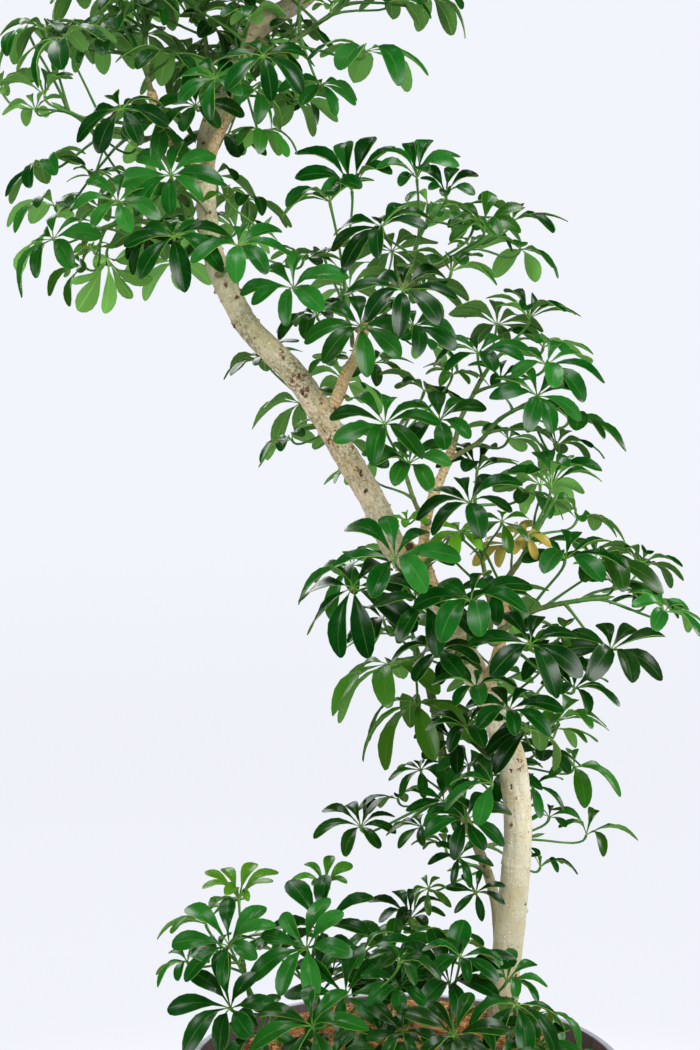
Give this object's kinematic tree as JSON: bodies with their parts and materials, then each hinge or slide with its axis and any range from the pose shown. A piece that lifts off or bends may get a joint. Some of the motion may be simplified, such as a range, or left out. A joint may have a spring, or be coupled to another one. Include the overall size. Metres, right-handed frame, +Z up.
{
  "type": "potted compacta dwarf umbrella tree",
  "caption": "Tall dwarf umbrella tree with a leaning, forked trunk and round fans of glossy leaflets, in a tapered dark round pot.",
  "frame": {"origin": "middle of the pot's flat base, on the surface that it stands on", "axes": "+Z up through the pot, +X to the right and +Y away from a viewer in front of the plant"},
  "size_m": [0.6366, 0.3941, 1.4573],
  "materials": {
    "fibre_cement": "matt dark grey fibre cement",
    "nursery_plastic": "matt black",
    "potting_soil": "damp, crumbly",
    "coconut_fibre": "fibrous orange brown",
    "pale_bark": "smooth pale bark",
    "brown_bark": "rough brown bark",
    "leaf_green": "glossy dark green",
    "young_leaf_green": "glossy light green"
  },
  "bodies": {
    "root": {"centre": "leaf_green", "crown_behind": "leaf_green", "crown_centre": "leaf_green", "crown_far_left": "leaf_green", "crown_left_top": "leaf_green", "crown_mid_top": "leaf_green", "crown_right": "leaf_green", "elbow_behind": "leaf_green", "elbow_left": "leaf_green", "elbow_low": "leaf_green", "foot_back_left": "young_leaf_green", "foot_behind": "young_leaf_green", "foot_front_left": "young_leaf_green", "foot_front_right": "young_leaf_green", "foot_left": "young_leaf_green", "foot_middle": "young_leaf_green", "foot_right": "young_leaf_green", "fork_f": "leaf_green", "front_fan": "leaf_green", "left_mid": "leaf_green", "mid_behind": "leaf_green", "mid_front": "leaf_green", "mid_left": "leaf_green", "mid_left_behind": "leaf_green", "mid_low_left": "leaf_green", "mid_right": "leaf_green", "mid_up": "leaf_green", "mulch": "coconut_fibre", "nursery_pot": "nursery_plastic", "pot": "fibre_cement", "right_fan": "leaf_green", "right_mid": "leaf_green", "second_front": "leaf_green", "second_left": "leaf_green", "second_low": "leaf_green", "second_right": "leaf_green", "second_right_high": "leaf_green", "second_stem": "brown_bark", "second_top": "leaf_green", "soil": "potting_soil", "summit": "leaf_green", "summit_left": "leaf_green", "trunk": "pale_bark", "trunk_behind_high": "leaf_green", "trunk_front": "leaf_green", "upright_c": "leaf_green", "upright_d": "leaf_green"}
  },
  "joints": []
}
